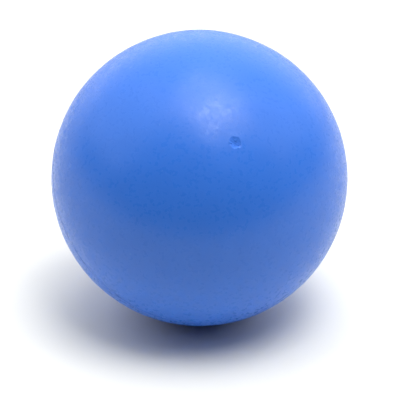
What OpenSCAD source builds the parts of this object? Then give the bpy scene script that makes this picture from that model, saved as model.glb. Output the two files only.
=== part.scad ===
// Solid two-layer bounce ball, lying as it rests on a level floor.
// The origin is the ball's centre, +Z is up, and the front half's gate scar faces -Y, tilted up.
// Every profile below is a half section about the gate axis: x is the radius and y is the height
// towards the front pole, so the seam between the two cover halves lies at y = 0.

/* [Ball] */
// Outside diameter of the ball
ball_d = 65; // [58:0.5:75]
// Angle of the gate axis above the level as the ball lies, in degrees
gate_tilt = 37.5; // [0:0.5:90]

/* [Cover halves] */
// Wall of both cover halves, from the cavity to the outside
cover_wall = 5; // [4:0.1:8]
// How far the front half's lip reaches past the seam into the rear half
lap_depth = 3; // [1.5:0.1:6]
// Thickness of the lip at the seam, counted from the cavity
lap_wall = 2.4; // [1.5:0.1:3.2]
// Chamfer on the lip's outer edge, which leads it into the rear half
lap_chamfer = 0.6; // [0.3:0.05:1]
// Width of the trimmed V groove where the seam comes out
seam_groove_w = 0.25; // [0.1:0.05:0.8]

/* [Cement] */
// Thickness of the cured cement in every bonded gap
cement_t = 0.2; // [0.1:0.05:0.4]

/* [Core] */
// Width of the land ground round the core where its mould flash was taken off
core_land_w = 2; // [1:0.1:6]

/* [Gate scars] */
// Width of the shallow sink round each gate
sink_d = 14; // [9:0.5:16]
// Depth of the sink at the pole
sink_depth = 0.15; // [0.05:0.01:0.25]
// Width of the torn-out crater at each pole
gate_d = 2.6; // [2:0.1:4]
// Depth of the crater below the sunken pole
gate_depth = 0.5; // [0.3:0.05:1.3]
// Width of the torn stub where it rises from the crater
stub_root_d = 0.9; // [0.6:0.05:1.2]
// Width of the stub at its torn end
stub_tip_d = 0.6; // [0.3:0.05:0.8]
// Height of the stub's torn end above the crater's floor, as a share of the crater's depth
stub_share = 0.6; // [0.3:0.05:0.9]
// Slant of the torn end, in degrees
stub_slant = 20; // [0:1:35]
// How far the stub stands off the pole, as the ball lies: up on the front half and down on the rear
stub_offset = 0.4; // [0:0.05:0.5]

/* [Hidden] */
$fn = 96;

cover_blue = "#3c7ae4";
core_tan = "#b99468";
cement_blue = "#3769cb";

// Radius of the dome with a given width and rise
function dome_radius(width, rise) = (width * width / 4 + rise * rise) / (2 * rise);

ball_r = ball_d / 2;
cavity_r = ball_r - cover_wall;
core_r = cavity_r - cement_t;
core_land_r = sqrt(core_r * core_r - core_land_w * core_land_w / 4);
lap_r = cavity_r + lap_wall;

// The sink is a flatter dome that meets the ball at sink_d
pole_h = ball_r - sink_depth;
sink_rise = pole_h - sqrt(ball_r * ball_r - sink_d * sink_d / 4);
sink_r = dome_radius(sink_d, sink_rise);
crater_r = dome_radius(gate_d, gate_depth);
crater_floor_h = pole_h - gate_depth;
stub_tip_h = crater_floor_h + stub_share * gate_depth;

// Half section of a plain ball
module half_disc(radius) {
    intersection() {
        circle(radius);
        translate([0, -radius]) square([radius, 2 * radius]);
    }
}

// A profile at the front pole and again at the rear pole
module at_both_poles() {
    children();
    mirror([0, 1]) children();
}

// The V groove trimmed along the seam
module seam_groove() {
    translate([ball_r, 0]) rotate(45) square(seam_groove_w / sqrt(2), center = true);
}

// Half section of the whole ball's outside, with sinks, craters and seam groove
module ball_section() {
    difference() {
        intersection() {
            half_disc(ball_r);
            translate([0, pole_h - sink_r]) circle(sink_r);
            translate([0, sink_r - pole_h]) circle(sink_r);
        }
        at_both_poles() translate([0, crater_floor_h + crater_r]) circle(crater_r);
        seam_groove();
    }
}

// The side of the lapped seam that belongs to the front half, drawn back from it by gap.
// The chamfer's leg changes with gap so that the cement between the halves keeps its thickness.
module front_side(gap) {
    leg = lap_chamfer - (2 - sqrt(2)) * gap;
    lip_r = lap_r - gap;
    lip_end = gap - lap_depth;
    polygon([
        [0, lip_end],
        [lip_r - leg, lip_end],
        [lip_r, lip_end + leg],
        [lip_r, gap],
        [ball_d, gap],
        [ball_d, ball_d],
        [0, ball_d]
    ]);
}

// Half section of both covers together, from the cavity to the outside
module cover_section() {
    difference() {
        ball_section();
        half_disc(cavity_r);
    }
}

// Half section of the core, with the ground land round its middle
module core_section() {
    intersection() {
        half_disc(core_r);
        translate([0, -core_r]) square([core_land_r, 2 * core_r]);
    }
}

// What is left of the gate: a stub rooted in the wall, torn off at a slant below the surface
module torn_stub() {
    translate([0, stub_offset, 0]) difference() {
        rotate_extrude() polygon([
            [0, cavity_r + cover_wall / 2],
            [stub_root_d / 2, cavity_r + cover_wall / 2],
            [stub_root_d / 2, crater_floor_h],
            [stub_tip_d / 2, stub_tip_h],
            [0, stub_tip_h]
        ]);
        translate([0, stub_tip_d / 2, stub_tip_h]) rotate([stub_slant, 0, 0])
            translate([-gate_d, -2 * gate_d, 0]) cube([2 * gate_d, 3 * gate_d, gate_d]);
    }
}

// Turns the gate axis from upright to where it points as the ball lies
module as_it_lies() {
    rotate([90 - gate_tilt, 0, 0]) children();
}

module core() {
    color(core_tan) as_it_lies() rotate_extrude() core_section();
}

module cement_film() {
    color(cement_blue) as_it_lies() rotate_extrude() difference() {
        union() {
            half_disc(cavity_r);
            intersection() {
                ball_section();
                difference() {
                    front_side(-cement_t / 2);
                    front_side(cement_t / 2);
                }
            }
        }
        core_section();
    }
}

module front_cover() {
    color(cover_blue) as_it_lies() union() {
        rotate_extrude() intersection() {
            cover_section();
            front_side(cement_t / 2);
        }
        torn_stub();
    }
}

module rear_cover() {
    color(cover_blue) as_it_lies() union() {
        rotate_extrude() difference() {
            cover_section();
            front_side(-cement_t / 2);
        }
        mirror([0, 0, 1]) rotate(180) torn_stub();
    }
}

core();
cement_film();
front_cover();
rear_cover();
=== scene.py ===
"""Bouncy ball: the looks of a solid two-layer rubber ball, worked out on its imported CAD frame.

Two moulded cover halves meet in a hairline seam. Each half has the scar of its mould's gate at its
pole: a shallow sink, a torn crater and the stub that stayed in it. All lengths are in metres.
"""
import math

import bpy
import numpy as np
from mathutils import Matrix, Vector


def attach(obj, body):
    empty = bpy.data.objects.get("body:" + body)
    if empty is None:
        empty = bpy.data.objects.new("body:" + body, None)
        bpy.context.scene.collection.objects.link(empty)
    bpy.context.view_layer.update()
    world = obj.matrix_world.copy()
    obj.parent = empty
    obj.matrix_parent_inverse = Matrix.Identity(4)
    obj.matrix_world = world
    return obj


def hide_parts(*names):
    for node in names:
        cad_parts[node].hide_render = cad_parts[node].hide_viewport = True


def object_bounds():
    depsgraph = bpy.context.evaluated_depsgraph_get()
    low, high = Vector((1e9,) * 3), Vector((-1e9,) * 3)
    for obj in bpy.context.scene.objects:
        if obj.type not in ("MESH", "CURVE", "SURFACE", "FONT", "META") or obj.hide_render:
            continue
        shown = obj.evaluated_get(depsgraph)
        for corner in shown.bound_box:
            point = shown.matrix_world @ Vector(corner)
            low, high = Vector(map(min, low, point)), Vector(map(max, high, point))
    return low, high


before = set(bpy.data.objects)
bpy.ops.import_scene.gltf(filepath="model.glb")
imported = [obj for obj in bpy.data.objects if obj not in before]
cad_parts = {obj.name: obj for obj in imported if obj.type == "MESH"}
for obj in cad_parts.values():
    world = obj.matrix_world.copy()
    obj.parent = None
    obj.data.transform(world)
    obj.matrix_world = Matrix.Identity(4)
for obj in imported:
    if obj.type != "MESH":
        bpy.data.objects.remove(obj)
CAD_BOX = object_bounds()

bl_info = {
    "name": "Bouncy Ball",
    "version": (1, 0, 0),
    "blender": (4, 5, 0),
    "location": "3D View > Sidebar > Bouncy Ball",
    "description": "Builds a two-layer rubber bounce ball and its studio",
    "category": "Add Mesh",
}

MM = 0.001
BODY = "root"
BALL_RADIUS = (CAD_BOX[1].x - CAD_BOX[0].x) / 2

# Details of the gate's scar; places are in crater radii from the pole, and angles in radians
LOWEST_POINT = (0.12, -0.46)
BOWL_POWER = 1.15
# Waves that make the rim ragged: how many, their share of the rim's radius, and where they start
RIM_WAVES = ((3, 0.05, 0.4), (5, 0.04, 1.0), (9, 0.03, 2.0))
# Ripples of the torn rubber: the length in which they turn by one radian, across and up
TEAR_RADIAN_ACROSS = 0.1 * MM
TEAR_RADIAN_UP = 0.09 * MM
TEAR_START = 1.0
# The tongue's direction from the lowest point, its spread, its shares of the way to the rim, and how
# much of the bowl's depth it fills
TONGUE_ANGLE = 2.62
TONGUE_SPREAD = 0.09
TONGUE_REACH = (0.5, 0.75)
TONGUE_FILL = 0.9
STUB_PLACE = (0.06, 0.3)
BURR_PLACE = (0.4, -1.0)
BURR_WIDTH = 0.5 * MM
BURR_HEIGHT = 0.05 * MM
PIT_DEPTH = 0.1 * MM
# Each pit's place and width
PITS = (((0.43, -0.68), 0.45 * MM), ((-0.85, -0.22), 0.5 * MM))

# Slow waves in the skin
WAVE_SEED = 11
WAVE_LENGTHS = (9 * MM, 12 * MM, 15 * MM, 19 * MM, 24 * MM)

# Grid of a cover half: points round the pole, and rings in the scar, the sink, the plain skin and a
# narrow band at the seam. The scar's rings end at a share of the gate's width, and the sink's at a
# share of its own.
SKIN_TURNS = 320
SKIN_RINGS = (43, 25, 63, 3)
SCAR_REACH = 0.75
SINK_REACH = 0.6
SEAM_BAND = 0.5 * MM
INNER_RINGS = 24
SHARP_ANGLE = math.radians(70)

# Patterns in the materials. The blasted grain of the skin and the tooth of the paper are finer than a
# pixel, so both are drawn coarser than they are.
COVER_MATERIAL = "satin_moulded_rubber_blue"
TONE_WIDTH = 18 * MM
# Dust lies in cells, and a cell's random value gives the speck's size, as a share of the cell
DUST_CELL = 4.6 * MM
DUST_VALUES = (0.4, 0.7)
DUST_SIZE = 0.05
# Values of a noise over which the satin changes, and over which a scuff comes up
MOTTLE_VALUES = (0.3, 0.7)
SCUFF_VALUES = (0.58, 0.68)
# Shares of the crater's width over which the torn rubber ends
TORN_EDGE = (0.385, 0.52)
CORE_GRAIN_WIDTH = 0.8 * MM
CORE_GRAIN_HEIGHT = 0.03 * MM
CORE_SHADE = 0.8
CEMENT_STROKE_WIDTH = 1.2 * MM
CEMENT_SHADE = 0.85
PAPER_TOOTH_WIDTH = 0.5 * MM
PAPER_TOOTH_HEIGHT = 0.005 * MM

# Studio: the picture's width in pixels, the camera's sensor in mm, and distances in metres
PICTURE_WIDTH = 400
SENSOR_WIDTH = 36
CLIP_START = 0.01
CLIP_END = 100
FLOOR_REACH = 10
FLOOR_ROLL_STEPS = 16
# Cosines of the angle from straight behind the ball between which the white wall comes up
WALL_EDGE = (0.2, 0.8)
# Softboxes: name, azimuth, elevation and half angle in degrees, and the setting with the brightness
SOFTBOXES = (
    ("key_softbox", 120, 84.4, 20, "key_radiance"),
    ("fill_softbox", 142, 68, 14, "fill_radiance"),
    ("right_softbox", 90, 40, 22, "right_radiance"),
    ("left_softbox", 270, 40, 25, "left_radiance"),
    ("top_scrim", 0, 90, 30, "top_radiance"),
)


def gate_axis_from_frame():
    """Unit vector from the ball's centre to the front half's gate.

    The front half is round about that axis, so the mean of its faces, weighted by area, lies on it.
    """
    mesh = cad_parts["front_cover"].data
    count = len(mesh.polygons)
    centres = np.empty(count * 3)
    areas = np.empty(count)
    mesh.polygons.foreach_get("center", centres)
    mesh.polygons.foreach_get("area", areas)
    mean = (centres.reshape(-1, 3) * areas[:, None]).sum(0)
    return mean / np.linalg.norm(mean)


GATE_AXIS = gate_axis_from_frame()


def linear(hex_colour):
    """sRGB hex, such as #3f7be0, to the linear colour that shaders take."""
    parts = np.array([int(hex_colour[i:i + 2], 16) for i in (1, 3, 5)]) / 255
    low = parts / 12.92
    high = ((parts + 0.055) / 1.055) ** 2.4
    return tuple(float(c) for c in np.where(parts <= 0.04045, low, high))


# Sizes, colours and studio settings that a user would change


class BallSizes(bpy.types.PropertyGroup):
    """Sizes of the cover halves and of the marks that moulding left on them."""
    ball_radius: bpy.props.FloatProperty(
        name="Ball radius", description="Outside radius, from the packed model",
        default=BALL_RADIUS, unit="LENGTH", precision=5)
    cover_wall: bpy.props.FloatProperty(
        name="Cover wall", description="Thickness of the cover halves",
        default=5 * MM, unit="LENGTH", precision=5)
    lap_depth: bpy.props.FloatProperty(
        name="Lap depth", description="Reach of the front half's lip past the seam",
        default=3 * MM, unit="LENGTH", precision=5)
    lap_wall: bpy.props.FloatProperty(
        name="Lap wall", description="Thickness of the lip at the seam",
        default=2.4 * MM, unit="LENGTH", precision=5)
    lap_chamfer: bpy.props.FloatProperty(
        name="Lap chamfer", description="Chamfer on the lip's outer edge",
        default=0.6 * MM, unit="LENGTH", precision=5)
    cement: bpy.props.FloatProperty(
        name="Cement", description="Thickness of the cured cement between the pieces",
        default=0.2 * MM, unit="LENGTH", precision=5)
    seam_groove: bpy.props.FloatProperty(
        name="Seam groove", description="Width of the V groove where the seam comes out",
        default=0.25 * MM, unit="LENGTH", precision=5)
    sink_width: bpy.props.FloatProperty(
        name="Sink width", description="Width of the shallow sink round each gate",
        default=14 * MM, unit="LENGTH", precision=5)
    sink_depth: bpy.props.FloatProperty(
        name="Sink depth", description="Depth of the sink at the pole",
        default=0.15 * MM, unit="LENGTH", precision=5)
    gate_width: bpy.props.FloatProperty(
        name="Gate width", description="Width of the torn crater",
        default=2.6 * MM, unit="LENGTH", precision=5)
    gate_depth: bpy.props.FloatProperty(
        name="Gate depth", description="Depth of the crater below the sunken pole",
        default=0.34 * MM, unit="LENGTH", precision=5)
    tear_height: bpy.props.FloatProperty(
        name="Tear height", description="Height of the ripples that tearing left in the crater",
        default=0.025 * MM, unit="LENGTH", precision=6)
    stub_width: bpy.props.FloatProperty(
        name="Stub width", description="Width of the torn stub in the crater",
        default=0.5 * MM, unit="LENGTH", precision=5)
    stub_height: bpy.props.FloatProperty(
        name="Stub height", description="Height of the stub above the crater's floor",
        default=0.12 * MM, unit="LENGTH", precision=5)
    waviness: bpy.props.FloatProperty(
        name="Waviness", description="Height of the slow waves that shrinkage left in the skin",
        default=0.012 * MM, unit="LENGTH", precision=6)


class BallFinish(bpy.types.PropertyGroup):
    """Colours and surface of the three rubbers."""
    cover_colour: bpy.props.FloatVectorProperty(
        name="Cover", description="Pigmented cover rubber",
        default=linear("#3977de"), subtype="COLOR", size=3, min=0, max=1)
    cover_deep: bpy.props.FloatVectorProperty(
        name="Cover, deeper", description="The cover's second tone, where the pigment lies thicker",
        default=linear("#3573da"), subtype="COLOR", size=3, min=0, max=1)
    dust_colour: bpy.props.FloatVectorProperty(
        name="Dust", description="Pale specks that cling to the rubber",
        default=linear("#5489e0"), subtype="COLOR", size=3, min=0, max=1)
    core_colour: bpy.props.FloatVectorProperty(
        name="Core", description="Unpigmented core rubber",
        default=linear("#b99468"), subtype="COLOR", size=3, min=0, max=1)
    cement_colour: bpy.props.FloatVectorProperty(
        name="Cement", description="Cured cement, tinted towards the cover",
        default=linear("#3769cb"), subtype="COLOR", size=3, min=0, max=1)
    cover_roughness: bpy.props.FloatProperty(
        name="Cover roughness", description="Satin of the moulded skin",
        default=0.315, min=0, max=1, subtype="FACTOR")
    cover_gloss: bpy.props.FloatProperty(
        name="Cover gloss", description="Strength of the skin's reflections",
        default=0.35, min=0, max=1, subtype="FACTOR")
    mottle_roughness: bpy.props.FloatProperty(
        name="Mottle roughness", description="How far the satin's roughness goes up and down",
        default=0.1, min=0, max=1, subtype="FACTOR")
    scuff_roughness: bpy.props.FloatProperty(
        name="Scuff roughness", description="Roughness that scuffs add to the satin",
        default=0.22, min=0, max=1, subtype="FACTOR")
    torn_roughness: bpy.props.FloatProperty(
        name="Torn roughness", description="Roughness that tearing added in the gates' craters",
        default=0.45, min=0, max=1, subtype="FACTOR")
    mottle_size: bpy.props.FloatProperty(
        name="Mottle size", description="Width of the smoother and rougher spots in the satin",
        default=1.1 * MM, unit="LENGTH", precision=5)
    scuff_size: bpy.props.FloatProperty(
        name="Scuff size", description="Width of the small dull marks that handling left in the satin",
        default=0.7 * MM, unit="LENGTH", precision=5)
    peel_size: bpy.props.FloatProperty(
        name="Peel size", description="Width of the fine orange peel in the skin",
        default=0.9 * MM, unit="LENGTH", precision=5)
    peel_height: bpy.props.FloatProperty(
        name="Peel height", description="Height of the orange peel",
        default=0.02 * MM, unit="LENGTH", precision=6)


class BallStudio(bpy.types.PropertyGroup):
    """Camera, paper and light."""
    camera_azimuth: bpy.props.FloatProperty(
        name="Camera azimuth", description="Turn of the camera about the upright axis",
        default=math.radians(-16.7), subtype="ANGLE")
    camera_elevation: bpy.props.FloatProperty(
        name="Camera elevation", description="Height of the camera above the level",
        default=math.radians(25.3), subtype="ANGLE")
    camera_distance: bpy.props.FloatProperty(
        name="Camera distance", description="From the ball's centre",
        default=455 * MM, unit="LENGTH")
    picture_radius: bpy.props.FloatProperty(
        name="Picture radius", description="Radius of the ball in the picture, in pixels",
        default=148.2)
    picture_centre: bpy.props.FloatVectorProperty(
        name="Picture centre", description="The ball's centre in the picture, in pixels from the top left",
        default=(199.5, 177.9), size=2)
    floor_colour: bpy.props.FloatVectorProperty(
        name="Floor", description="Matt paper, a warm white",
        default=linear("#e8e8e3"), subtype="COLOR", size=3, min=0, max=1)
    floor_front: bpy.props.FloatProperty(
        name="Floor front", description="From the ball's centre forward to where the paper turns down",
        default=114 * MM, unit="LENGTH")
    floor_roll: bpy.props.FloatProperty(
        name="Floor roll", description="Radius of the quarter turn in which the paper goes down",
        default=80 * MM, unit="LENGTH")
    key_radiance: bpy.props.FloatProperty(
        name="Key softbox", description="Brightness of the softbox above, times white",
        default=3.2, min=0)
    fill_radiance: bpy.props.FloatProperty(
        name="Fill softbox", description="Brightness of the softbox at the front right, times white",
        default=5.8, min=0)
    right_radiance: bpy.props.FloatProperty(
        name="Right softbox", description="Brightness of the softbox on the right, times white",
        default=1.33, min=0)
    left_radiance: bpy.props.FloatProperty(
        name="Left softbox", description="Brightness of the softbox on the left, times white",
        default=1.19, min=0)
    top_radiance: bpy.props.FloatProperty(
        name="Top scrim", description="Brightness of the wide scrim overhead, times white",
        default=0.96, min=0)
    wall_radiance: bpy.props.FloatProperty(
        name="White wall", description="Brightness of the room's white side behind the ball, times white",
        default=1.46, min=0)


# Shapes


def smooth(low, high, value):
    """0 below low, 1 above high, and a smooth step between them."""
    t = np.clip((value - low) / (high - low), 0, 1)
    return t * t * (3 - 2 * t)


def mound(x, y, at, width):
    """A round mound of height 1 at a place, which falls off smoothly over its width."""
    return np.exp(-((x - at[0]) ** 2 + (y - at[1]) ** 2) / (width / 2) ** 2)


def gate_relief(sizes, x, y, turned):
    """Height of the gate's scar over the smooth skin, at x and y across the pole.

    The scar is a lopsided bowl: its depth goes with a power of one minus the square of the share of the
    way from its lowest point to the rim, so the wall is short and steep below and long above. The rim is
    a circle about the pole, made ragged by waves. Tears ripple the bowl across and up and down. A torn
    tongue reaches in from one side, a stub stands in the upper part, a burr stands on the lower rim, and
    two pits lie beside it. All of it is turned about the pole by the angle turned. Inside, u and v are x
    and y in crater radii.
    """
    x, y = x * math.cos(turned) + y * math.sin(turned), y * math.cos(turned) - x * math.sin(turned)
    radius = sizes.gate_width / 2
    u, v = x / radius, y / radius
    low_u, low_v = LOWEST_POINT
    angle = np.arctan2(v - low_v, u - low_u)
    from_pole = angle - math.atan2(-low_v, -low_u)
    shift = math.hypot(low_u, low_v)
    rim = shift * np.cos(from_pole) + np.sqrt(1 - (shift * np.sin(from_pole)) ** 2)
    rim *= 1 + sum(height * np.cos(count * angle + start) for count, height, start in RIM_WAVES)
    share = np.hypot(u - low_u, v - low_v) / rim
    bowl = np.clip(1 - share ** 2, 0, 1) ** BOWL_POWER
    ripples = np.cos(x / TEAR_RADIAN_ACROSS + TEAR_START) * np.cos(y / TEAR_RADIAN_UP)
    tears = sizes.tear_height * bowl * ripples
    tongue = np.exp(-((angle - TONGUE_ANGLE) / TONGUE_SPREAD) ** 2) * smooth(*TONGUE_REACH, share)
    stub = sizes.stub_height * mound(u, v, STUB_PLACE, sizes.stub_width / radius)
    burr = BURR_HEIGHT * mound(u, v, BURR_PLACE, BURR_WIDTH / radius)
    pits = PIT_DEPTH * sum(mound(u, v, place, width / radius) for place, width in PITS)
    return tears + stub + burr - pits - sizes.gate_depth * bowl * (1 - TONGUE_FILL * tongue)


def skin_relief(sizes, points, x, y, turned):
    """Height of the whole skin over a true ball: slow waves, the sink round the gate, and its scar.

    The waves are sines along random directions, and they fade out towards the scar.
    """
    rng = np.random.default_rng(WAVE_SEED)
    waves = np.zeros(points.shape[:-1])
    for length in WAVE_LENGTHS:
        way = rng.normal(size=3)
        way *= 2 * np.pi / length / np.linalg.norm(way)
        waves += np.sin(points @ way + rng.uniform(0, 2 * np.pi))
    reach = np.hypot(x, y)
    sink = np.clip(1 - (2 * reach / sizes.sink_width) ** 2, 0, 1) ** 2
    away = smooth(1, 2, 2 * reach / sizes.gate_width)
    return sizes.waviness * waves * away - sizes.sink_depth * sink + gate_relief(sizes, x, y, turned)


def skin_stations(sizes):
    """Distances of the rings from the pole, along the skin to the seam groove; closest in the scar."""
    seam = sizes.ball_radius * math.acos(sizes.seam_groove / 2 / sizes.ball_radius)
    ends = (0, SCAR_REACH * sizes.gate_width, SINK_REACH * sizes.sink_width, seam - SEAM_BAND, seam)
    spans = zip(ends[:-1], ends[1:], SKIN_RINGS)
    return np.concatenate([np.linspace(start, end, rings + 1)[1:] for start, end, rings in spans])


def lap_profile(sizes, has_lip):
    """Radius and height of the half's hidden side, from the groove through the lap to the inner pole.

    The front half's lip stands past the seam and the rear half is cut back for it. Both keep half the
    cement's thickness from the lap's middle line, the chamfer too.
    """
    film = sizes.cement / 2
    side = -1 if has_lip else 1
    cavity = sizes.ball_radius - sizes.cover_wall
    lap_radius = cavity + sizes.lap_wall + side * film
    lap_end = side * sizes.lap_depth + film
    leg = sizes.lap_chamfer + side * (2 - math.sqrt(2)) * film
    corners = np.array([
        [sizes.ball_radius - sizes.seam_groove / 2 + film, film],
        [lap_radius, film],
        [lap_radius, lap_end - side * leg],
        [lap_radius - leg, lap_end],
    ])
    turn = np.linspace(math.asin(lap_end / cavity), math.pi / 2, INNER_RINGS + 1)
    arc = cavity * np.stack([np.cos(turn), np.sin(turn)], 1)
    return np.concatenate([corners, arc])


def carried_round(radii, heights, turns, axes):
    """Rings about the pole: each radius and height carried round through the turns, in the half's axes."""
    x, y = np.outer(radii, np.cos(turns)), np.outer(radii, np.sin(turns))
    z = np.outer(heights, np.ones(len(turns)))
    return np.stack([x, y, z], 2) @ axes


def cover_half(sizes, axes, has_lip, turned):
    """Closed surface of a cover half: a grid of rings and turns, its outer pole and its inner pole.

    axes are the half's own right, up and pole directions as rows. A point of the skin lies at the
    angle of its station from the pole, on the ball plus the relief there. The hidden side is the lap's
    profile carried round the pole.
    """
    turns = np.linspace(0, 2 * np.pi, SKIN_TURNS, endpoint=False)
    stations = skin_stations(sizes)
    angles = stations / sizes.ball_radius
    outward = carried_round(np.sin(angles), np.cos(angles), turns, axes)
    x, y = np.outer(stations, np.cos(turns)), np.outer(stations, np.sin(turns))
    relief = skin_relief(sizes, outward * sizes.ball_radius, x, y, turned)
    skin = outward * (sizes.ball_radius + relief)[..., None]
    hidden = lap_profile(sizes, has_lip)
    inside = carried_round(hidden[:-1, 0], hidden[:-1, 1], turns, axes)
    pole, centre = axes[2:], np.zeros(1)
    pole_relief = skin_relief(sizes, pole * sizes.ball_radius, centre, centre, turned)
    outer_pole = pole * (sizes.ball_radius + pole_relief)[:, None]
    inner_pole = pole * hidden[-1, 1]
    return np.concatenate([skin, inside]), outer_pole, inner_pole


def capped_grid_mesh(name, grid, first_pole, last_pole):
    """Mesh of a grid whose rings close on themselves, with a fan to a pole at each end."""
    rings, turns = grid.shape[:2]
    points = np.concatenate([grid.reshape(-1, 3), first_pole, last_pole])
    index = np.arange(rings * turns).reshape(rings, turns)
    beside = np.roll(index, -1, axis=1)
    quads = np.stack([index[:-1], index[1:], beside[1:], beside[:-1]], 2).reshape(-1, 4)
    first = np.full(turns, rings * turns)
    fan_in = np.stack([first, index[0], beside[0]], 1)
    fan_out = np.stack([first + 1, beside[-1], index[-1]], 1)
    mesh = bpy.data.meshes.new(name)
    mesh.from_pydata(points.tolist(), [], quads.tolist() + fan_in.tolist() + fan_out.tolist())
    mesh.polygons.foreach_set("use_smooth", np.ones(len(mesh.polygons), bool))
    mesh.set_sharp_from_angle(angle=SHARP_ANGLE)
    mesh.validate()
    return mesh


def show(context, name, mesh, material):
    """New object of the mesh in the scene, with its material."""
    piece = bpy.data.objects.new(name, mesh)
    context.scene.collection.objects.link(piece)
    mesh.materials.append(material)
    return piece


# Materials


def add_node(tree, kind, settings=None, **inputs):
    """Adds a node. settings are its own options; each input takes a value or another node's socket.

    An input goes by its name, with _ for a space, or by i and its number where names repeat.
    """
    node = tree.nodes.new(kind)
    for option, value in (settings or {}).items():
        setattr(node, option, value)
    for name, value in inputs.items():
        key = int(name[1:]) if name[1:].isdigit() else name.replace("_", " ")
        socket = node.inputs[key]
        if isinstance(value, bpy.types.NodeSocket):
            tree.links.new(value, socket)
        else:
            socket.default_value = value
    return node


def new_material(name):
    """Empty node material, its node tree, and the socket of a point's place on the object."""
    material = bpy.data.materials.new(name)
    material.use_nodes = True
    tree = material.node_tree
    tree.nodes.clear()
    return material, tree, add_node(tree, "ShaderNodeTexCoord").outputs["Object"]


def noise(tree, place, width, detail, distortion=0.0):
    """Socket of a noise from 0 to 1, whose spots have about the width."""
    node = add_node(tree, "ShaderNodeTexNoise", Vector=place, Scale=1 / width, Detail=detail,
                    Distortion=distortion)
    return node.outputs["Fac"]


def mapped(tree, value, start, end, first, last, interpolation="LINEAR"):
    """Socket that goes from first to last while the value goes from start to end."""
    node = add_node(tree, "ShaderNodeMapRange", {"interpolation_type": interpolation}, Value=value,
                    From_Min=start, From_Max=end, To_Min=first, To_Max=last)
    return node.outputs["Result"]


def mixed(tree, share, first, second):
    """Socket of a colour that goes from the first to the second with the share."""
    node = add_node(tree, "ShaderNodeMix", {"data_type": "RGBA"}, i0=share, i6=first, i7=second)
    return node.outputs[2]


def added(tree, first, second):
    """Socket of the sum of two values."""
    node = add_node(tree, "ShaderNodeMath", {"operation": "ADD"}, i0=first, i1=second)
    return node.outputs["Value"]


def opaque(colour, share=1.0):
    """A share of a colour, with its alpha."""
    return (*(share * part for part in colour), 1.0)


def cover_rubber(sizes, finish):
    """Moulded thermoplastic rubber, satin as it leaves a bead-blasted mould.

    The eye gets a broad soft highlight broken up by mottled satin and small scuffs, a slight change of
    tone in the pigment, and a few specks of dust. The torn rubber in the gates' craters is matt.
    """
    material, tree, place = new_material(COVER_MATERIAL)
    tone = noise(tree, place, TONE_WIDTH, detail=2.0)
    blue = mixed(tree, tone, opaque(finish.cover_colour), opaque(finish.cover_deep))
    cells = add_node(tree, "ShaderNodeTexVoronoi", Vector=place, Scale=1 / DUST_CELL)
    speck_size = mapped(tree, cells.outputs["Color"], *DUST_VALUES, 0.0, DUST_SIZE)
    speck = add_node(tree, "ShaderNodeMath", {"operation": "LESS_THAN"},
                     i0=cells.outputs["Distance"], i1=speck_size)
    colour = mixed(tree, speck.outputs["Value"], blue, opaque(finish.dust_colour))
    mottle = noise(tree, place, finish.mottle_size, detail=3.0)
    satin = mapped(tree, mottle, *MOTTLE_VALUES, finish.cover_roughness + finish.mottle_roughness,
                   finish.cover_roughness - finish.mottle_roughness)
    scuffs = noise(tree, place, finish.scuff_size, detail=2.0, distortion=1.0)
    dull = mapped(tree, scuffs, *SCUFF_VALUES, 0.0, finish.scuff_roughness)
    across = add_node(tree, "ShaderNodeVectorMath", {"operation": "CROSS_PRODUCT"},
                      i0=place, i1=tuple(GATE_AXIS))
    reach = add_node(tree, "ShaderNodeVectorMath", {"operation": "LENGTH"}, i0=across.outputs["Vector"])
    torn_from, torn_to = (share * sizes.gate_width for share in TORN_EDGE)
    torn = mapped(tree, reach.outputs["Value"], torn_from, torn_to, finish.torn_roughness, 0.0)
    roughness = added(tree, added(tree, satin, dull), torn)
    peel = noise(tree, place, finish.peel_size, detail=1.0)
    bump = add_node(tree, "ShaderNodeBump", Height=peel, Distance=finish.peel_height)
    shader = add_node(tree, "ShaderNodeBsdfPrincipled", Base_Color=colour, Roughness=roughness,
                      Normal=bump.outputs["Normal"], IOR=1.5, Specular_IOR_Level=finish.cover_gloss)
    add_node(tree, "ShaderNodeOutputMaterial", Surface=shader.outputs["BSDF"])
    return material


def core_rubber(finish):
    """Unpigmented high-rebound rubber, ground at the land: matt, with a fine grain."""
    material, tree, place = new_material("ground_high_rebound_rubber_tan")
    grain = noise(tree, place, CORE_GRAIN_WIDTH, detail=5.0)
    shade = mixed(tree, grain, opaque(finish.core_colour), opaque(finish.core_colour, CORE_SHADE))
    bump = add_node(tree, "ShaderNodeBump", Height=grain, Distance=CORE_GRAIN_HEIGHT)
    shader = add_node(tree, "ShaderNodeBsdfPrincipled", Base_Color=shade, Roughness=0.8, IOR=1.52,
                      Normal=bump.outputs["Normal"])
    add_node(tree, "ShaderNodeOutputMaterial", Surface=shader.outputs["BSDF"])
    return material


def rubber_cement(finish):
    """Cured rubber cement, tinted to hide the seam: a brushed film with faint strokes."""
    material, tree, place = new_material("cured_rubber_cement_blue")
    strokes = noise(tree, place, CEMENT_STROKE_WIDTH, detail=3.0)
    shade = mixed(tree, strokes, opaque(finish.cement_colour),
                  opaque(finish.cement_colour, CEMENT_SHADE))
    shader = add_node(tree, "ShaderNodeBsdfPrincipled", Base_Color=shade, Roughness=0.45, IOR=1.5)
    add_node(tree, "ShaderNodeOutputMaterial", Surface=shader.outputs["BSDF"])
    return material


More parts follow.
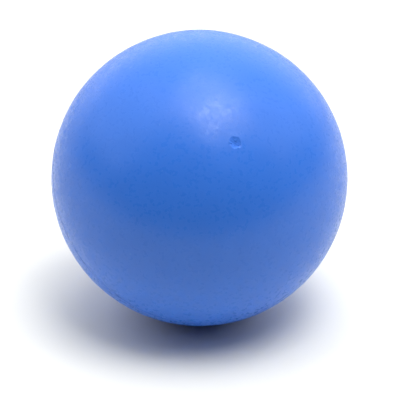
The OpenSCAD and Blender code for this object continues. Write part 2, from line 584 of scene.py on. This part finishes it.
def floor_paper(studio):
    """Matt white background paper: no gloss, and a faint tooth."""
    material, tree, place = new_material("matt_background_paper_white")
    tooth = noise(tree, place, PAPER_TOOTH_WIDTH, detail=2.0)
    bump = add_node(tree, "ShaderNodeBump", Height=tooth, Distance=PAPER_TOOTH_HEIGHT)
    shader = add_node(tree, "ShaderNodeBsdfPrincipled", Base_Color=opaque(studio.floor_colour),
                      Roughness=1.0, Specular_IOR_Level=0.0, Normal=bump.outputs["Normal"])
    add_node(tree, "ShaderNodeOutputMaterial", Surface=shader.outputs["BSDF"])
    return material


# Pieces


def cover_axes(facing):
    """Right, up and pole directions of a half as rows; facing is 1 for the front and -1 for the rear."""
    right = np.array([1.0, 0.0, 0.0])
    up = np.cross(GATE_AXIS, right)
    return np.array([facing * right, up, facing * GATE_AXIS])


def build_cover(context, node, facing, has_lip, turned):
    """Makes the skin that stands for one cover half; both halves share one material."""
    sizes, finish = context.scene.ball_sizes, context.scene.ball_finish
    name = node + "_skin"
    mesh = capped_grid_mesh(name, *cover_half(sizes, cover_axes(facing), has_lip, turned))
    material = bpy.data.materials.get(COVER_MATERIAL) or cover_rubber(sizes, finish)
    piece = show(context, name, mesh, material)
    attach(piece, BODY)
    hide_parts(node)


class BALL_OT_front_cover(bpy.types.Operator):
    """Front cover half, with the gate scar that shows."""
    bl_idname = "bouncy_ball.front_cover"
    bl_label = "Front cover half"

    def execute(self, context):
        build_cover(context, "front_cover", facing=1, has_lip=True, turned=0.0)
        return {"FINISHED"}


class BALL_OT_rear_cover(bpy.types.Operator):
    """Rear cover half, with a gate scar of its own."""
    bl_idname = "bouncy_ball.rear_cover"
    bl_label = "Rear cover half"

    def execute(self, context):
        build_cover(context, "rear_cover", facing=-1, has_lip=False, turned=math.pi)
        return {"FINISHED"}


class BALL_OT_inner_layers(bpy.types.Operator):
    """Core and cement film, which keep their own solids and get their finish."""
    bl_idname = "bouncy_ball.inner_layers"
    bl_label = "Core and cement"

    def execute(self, context):
        finish = context.scene.ball_finish
        for node, material in (("core", core_rubber(finish)), ("cement_film", rubber_cement(finish))):
            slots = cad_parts[node].data.materials
            slots.clear()
            slots.append(material)
        return {"FINISHED"}


# Stage


def direction(turn, rise):
    """Unit vector at a turn from +Y towards +X and a rise above the level, both in radians."""
    return Vector((math.sin(turn) * math.cos(rise), math.cos(turn) * math.cos(rise), math.sin(rise)))


def aim(thing, place):
    """Puts a camera or lamp at a place, looking at the ball's centre."""
    thing.location = place
    thing.rotation_euler = (-place).to_track_quat("-Z", "Y").to_euler()


def add_camera(context):
    """Camera that sees the ball at the picture's place and size.

    The focal length in pixels is the picture's radius over the tangent of the ball's angular radius.
    """
    sizes, studio = context.scene.ball_sizes, context.scene.ball_studio
    data = bpy.data.cameras.new("camera")
    camera = bpy.data.objects.new("camera", data)
    context.scene.collection.objects.link(camera)
    far = studio.camera_distance
    tangent = sizes.ball_radius / math.sqrt(far ** 2 - sizes.ball_radius ** 2)
    data.sensor_width = SENSOR_WIDTH
    data.lens = studio.picture_radius / tangent * SENSOR_WIDTH / PICTURE_WIDTH
    data.shift_x = 0.5 - studio.picture_centre[0] / PICTURE_WIDTH
    data.shift_y = studio.picture_centre[1] / PICTURE_WIDTH - 0.5
    data.clip_start = CLIP_START
    data.clip_end = CLIP_END
    aim(camera, far * direction(math.pi - studio.camera_azimuth, studio.camera_elevation))
    context.scene.camera = camera


def add_softbox(context, name, azimuth, elevation, half_angle, radiance):
    """Square softbox a metre from the ball, seen from it under a half angle; angles in degrees.

    Azimuth counts from straight behind the ball, as the camera sees it, towards the right. A flat
    source with a radiance sends out pi times that radiance from each square metre.
    """
    data = bpy.data.lights.new(name, "AREA")
    data.size = 2 * math.tan(math.radians(half_angle))
    data.energy = math.pi * radiance * data.size ** 2
    softbox = bpy.data.objects.new(name, data)
    context.scene.collection.objects.link(softbox)
    turn = math.radians(azimuth) - context.scene.ball_studio.camera_azimuth
    aim(softbox, direction(turn, math.radians(elevation)))


def add_world(context):
    """White room that is bright behind the ball and dark behind the camera; the camera sees it white."""
    studio = context.scene.ball_studio
    world = bpy.data.worlds.new("white_room")
    world.use_nodes = True
    tree = world.node_tree
    tree.nodes.clear()
    way = add_node(tree, "ShaderNodeTexCoord").outputs["Generated"]
    behind = direction(-studio.camera_azimuth, 0)
    facing = add_node(tree, "ShaderNodeVectorMath", {"operation": "DOT_PRODUCT"}, i0=way, i1=behind)
    light = mapped(tree, facing.outputs["Value"], *WALL_EDGE, 0.0, studio.wall_radiance, "SMOOTHSTEP")
    eye = add_node(tree, "ShaderNodeLightPath").outputs["Is Camera Ray"]
    strength = add_node(tree, "ShaderNodeMix", {"data_type": "FLOAT"}, i0=eye, i2=light, i3=1.0)
    white = add_node(tree, "ShaderNodeBackground", Color=(1, 1, 1, 1), Strength=strength.outputs[0])
    add_node(tree, "ShaderNodeOutputWorld", Surface=white.outputs["Background"])
    context.scene.world = world


def floor_mesh(studio):
    """Strip of paper under the ball: flat from far behind to its front, then a quarter turn down.

    The profile's way forward is the flat length plus the roll's radius times the sine of the turn, and
    its drop is the radius times one minus the cosine.
    """
    right = np.array([math.cos(studio.camera_azimuth), math.sin(studio.camera_azimuth), 0])
    ahead = np.array([right[1], -right[0], 0])
    turn = np.linspace(0, math.pi / 2, FLOOR_ROLL_STEPS + 1)
    forward = np.concatenate([[-FLOOR_REACH], studio.floor_front + studio.floor_roll * np.sin(turn)])
    drop = np.concatenate([[0], studio.floor_roll * (1 - np.cos(turn))])
    middle = np.outer(forward, ahead) + np.outer(CAD_BOX[0].z - drop, [0, 0, 1])
    points = np.concatenate([middle - FLOOR_REACH * right, middle + FLOOR_REACH * right])
    index = np.arange(len(middle) - 1)
    faces = np.stack([index + len(middle), index + 1 + len(middle), index + 1, index], 1)
    mesh = bpy.data.meshes.new("floor")
    mesh.from_pydata(points.tolist(), [], faces.tolist())
    mesh.polygons.foreach_set("use_smooth", np.ones(len(faces), bool))
    return mesh


class BALL_OT_stage(bpy.types.Operator):
    """Paper floor, soft light and camera."""
    bl_idname = "bouncy_ball.stage"
    bl_label = "Stage"

    def execute(self, context):
        scene = context.scene
        studio = scene.ball_studio
        show(context, "floor", floor_mesh(studio), floor_paper(studio))
        for name, azimuth, elevation, half_angle, setting in SOFTBOXES:
            add_softbox(context, name, azimuth, elevation, half_angle, getattr(studio, setting))
        add_world(context)
        add_camera(context)
        scene.view_settings.view_transform = "Standard"
        return {"FINISHED"}


# Add-on


class BALL_PT_panel(bpy.types.Panel):
    """The ball's pieces, sizes, finish and studio."""
    bl_idname = "BALL_PT_panel"
    bl_label = "Bouncy Ball"
    bl_space_type = "VIEW_3D"
    bl_region_type = "UI"
    bl_category = "Bouncy Ball"

    def draw(self, context):
        for operator in OPERATORS:
            self.layout.operator(operator.bl_idname)
        for group in (context.scene.ball_sizes, context.scene.ball_finish, context.scene.ball_studio):
            column = self.layout.column()
            for name in group.__annotations__:
                column.prop(group, name)


OPERATORS = (BALL_OT_front_cover, BALL_OT_rear_cover, BALL_OT_inner_layers, BALL_OT_stage)
CLASSES = (BallSizes, BallFinish, BallStudio, *OPERATORS, BALL_PT_panel)


def register():
    """Adds the classes to Blender and the three groups of settings to the scene."""
    for cls in CLASSES:
        bpy.utils.register_class(cls)
    bpy.types.Scene.ball_sizes = bpy.props.PointerProperty(type=BallSizes)
    bpy.types.Scene.ball_finish = bpy.props.PointerProperty(type=BallFinish)
    bpy.types.Scene.ball_studio = bpy.props.PointerProperty(type=BallStudio)


def unregister():
    """Takes out what register added, in reverse."""
    del bpy.types.Scene.ball_studio
    del bpy.types.Scene.ball_finish
    del bpy.types.Scene.ball_sizes
    for cls in reversed(CLASSES):
        bpy.utils.unregister_class(cls)


def main():
    register()
    bpy.ops.bouncy_ball.front_cover()
    bpy.ops.bouncy_ball.rear_cover()
    bpy.ops.bouncy_ball.inner_layers()
    bpy.ops.bouncy_ball.stage()


if __name__ == "__main__":
    main()
